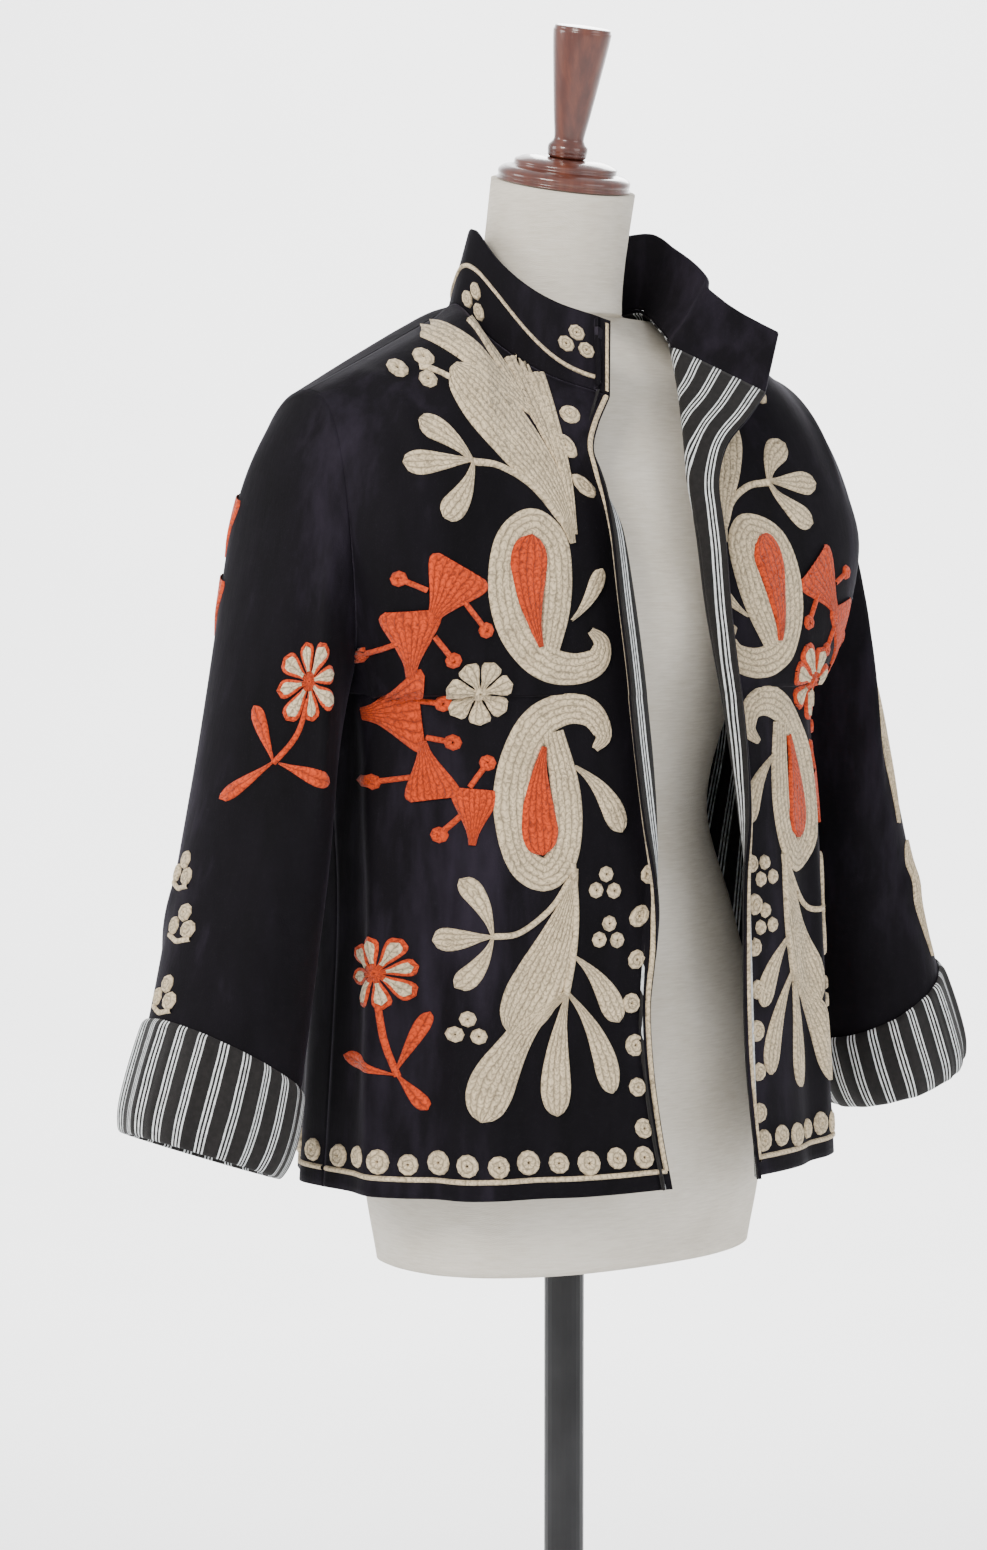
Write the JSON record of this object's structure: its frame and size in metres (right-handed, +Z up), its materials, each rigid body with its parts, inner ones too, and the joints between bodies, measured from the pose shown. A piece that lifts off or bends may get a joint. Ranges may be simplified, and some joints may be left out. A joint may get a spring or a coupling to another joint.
{
  "type": "embroidered velvet jacket on a dress form",
  "caption": "Boxy open-front dark velvet jacket with thick cream and orange chain-stitch embroidery, a stand collar and turned-back striped cuffs, worn by a limbless linen dress form.",
  "frame": {"origin": "middle of the stand's base, on the floor", "axes": "+Z up, the jacket's front faces -Y, the wearer's right is -X"},
  "size_m": [0.7522, 0.321, 1.5593],
  "materials": {
    "velvet": "matte",
    "striped_lining": "matte",
    "linen": "matte",
    "turned_wood": "gloss",
    "stand_metal": "satin"
  },
  "bodies": {
    "root": {"back": "velvet", "front_right": "velvet", "front_left": "velvet", "sleeve_right": "velvet", "sleeve_left": "velvet", "collar": "velvet", "cuff_right": "striped_lining", "cuff_left": "striped_lining", "lining_front_right": "striped_lining", "lining_front_left": "striped_lining", "lining_back": "striped_lining", "form_torso": "linen", "neck_cap": "turned_wood", "finial": "turned_wood", "pole": "stand_metal", "base": "stand_metal"}
  },
  "joints": []
}
